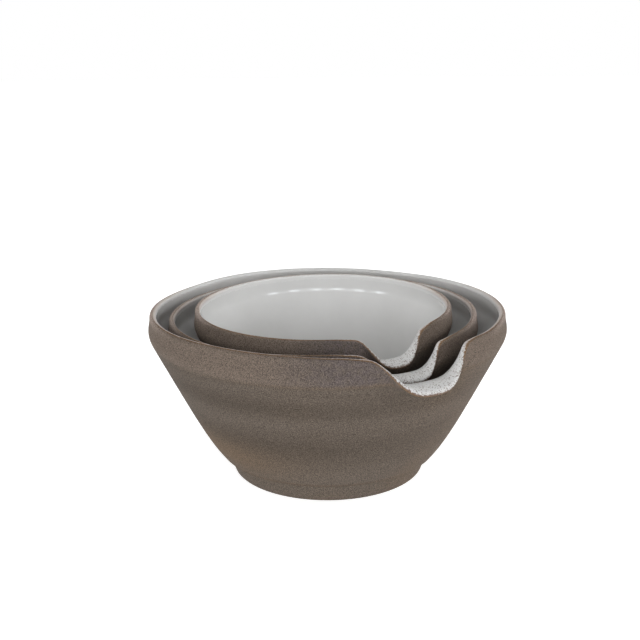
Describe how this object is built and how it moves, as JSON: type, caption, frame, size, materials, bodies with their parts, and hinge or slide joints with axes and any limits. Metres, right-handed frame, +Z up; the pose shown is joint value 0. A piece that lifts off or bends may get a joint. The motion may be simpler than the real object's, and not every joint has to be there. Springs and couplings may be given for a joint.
{
  "type": "nesting pouring bowls",
  "caption": "Nesting stoneware bowls with pulled pouring spouts: matt clay outside, pale satin glaze inside, standing one inside another.",
  "frame": {"origin": "centre of the underside of the large bowl's foot, on the surface it stands on", "axes": "+Z up along the bowls' axis, -Y towards the pouring spouts, +X to the right seen from the spout side"},
  "size_m": [0.251, 0.2567, 0.1216],
  "materials": {
    "large_bowl": "matt bare grey-brown stoneware, fine grain, faint throwing rings",
    "large_glaze": "satin off-white glaze, dark iron speckles where it thins at the spout",
    "medium_bowl": "matt bare grey-brown stoneware, fine grain, faint throwing rings",
    "medium_glaze": "satin off-white glaze, dark iron speckles where it thins at the spout",
    "small_bowl": "matt bare grey-brown stoneware, fine grain, faint throwing rings",
    "small_glaze": "satin off-white glaze, dark iron speckles where it thins at the spout"
  },
  "bodies": {
    "large": {"large_bowl": "large_bowl", "large_glaze": "large_glaze"},
    "medium": {"medium_bowl": "medium_bowl", "medium_glaze": "medium_glaze"},
    "small": {"small_bowl": "small_bowl", "small_glaze": "small_glaze"}
  },
  "joints": [
    {"name": "medium_lift", "type": "slide", "parent": "large", "child": "medium", "axis": [0, 0, 1], "range_m": [0, 0.15]},
    {"name": "small_lift", "type": "slide", "parent": "medium", "child": "small", "axis": [0, 0, 1], "range_m": [0, 0.15]}
  ]
}
